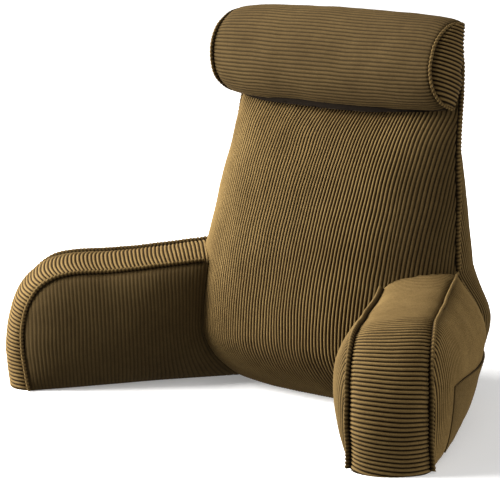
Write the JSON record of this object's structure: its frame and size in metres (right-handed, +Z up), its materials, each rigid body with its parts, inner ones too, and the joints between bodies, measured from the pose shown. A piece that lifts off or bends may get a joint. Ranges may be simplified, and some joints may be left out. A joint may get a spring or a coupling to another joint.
{
  "type": "reading pillow with arms",
  "caption": "Upright corduroy back rest cushion with splayed stuffed arms, a half-round neck bolster, raised seams and a patch pocket, for sitting up against.",
  "frame": {"origin": "on the floor, under the middle of the whole cushion's box", "axes": "+X to the right as seen from the front, +Y from the front to the back, +Z up"},
  "size_m": [0.8761, 0.4863, 0.573],
  "materials": {
    "olive_corduroy": "jumbo corduroy, ribs 6.35 mm apart, soft matt pile with a faint sheen",
    "olive_corduroy_welt": "the same corduroy folded to a raised seam, ribs across it"
  },
  "bodies": {
    "root": {"back_rest_and_arms": "olive_corduroy", "neck_bolster": "olive_corduroy", "side_pocket": "olive_corduroy", "inner_arm_welt_left": "olive_corduroy_welt", "inner_arm_welt_right": "olive_corduroy_welt", "outer_arm_welt_left": "olive_corduroy_welt", "outer_arm_welt_right": "olive_corduroy_welt", "rear_arm_welt_left": "olive_corduroy_welt", "rear_arm_welt_right": "olive_corduroy_welt", "back_rest_welt": "olive_corduroy_welt", "bolster_welt_left": "olive_corduroy_welt", "bolster_welt_right": "olive_corduroy_welt"}
  },
  "joints": []
}
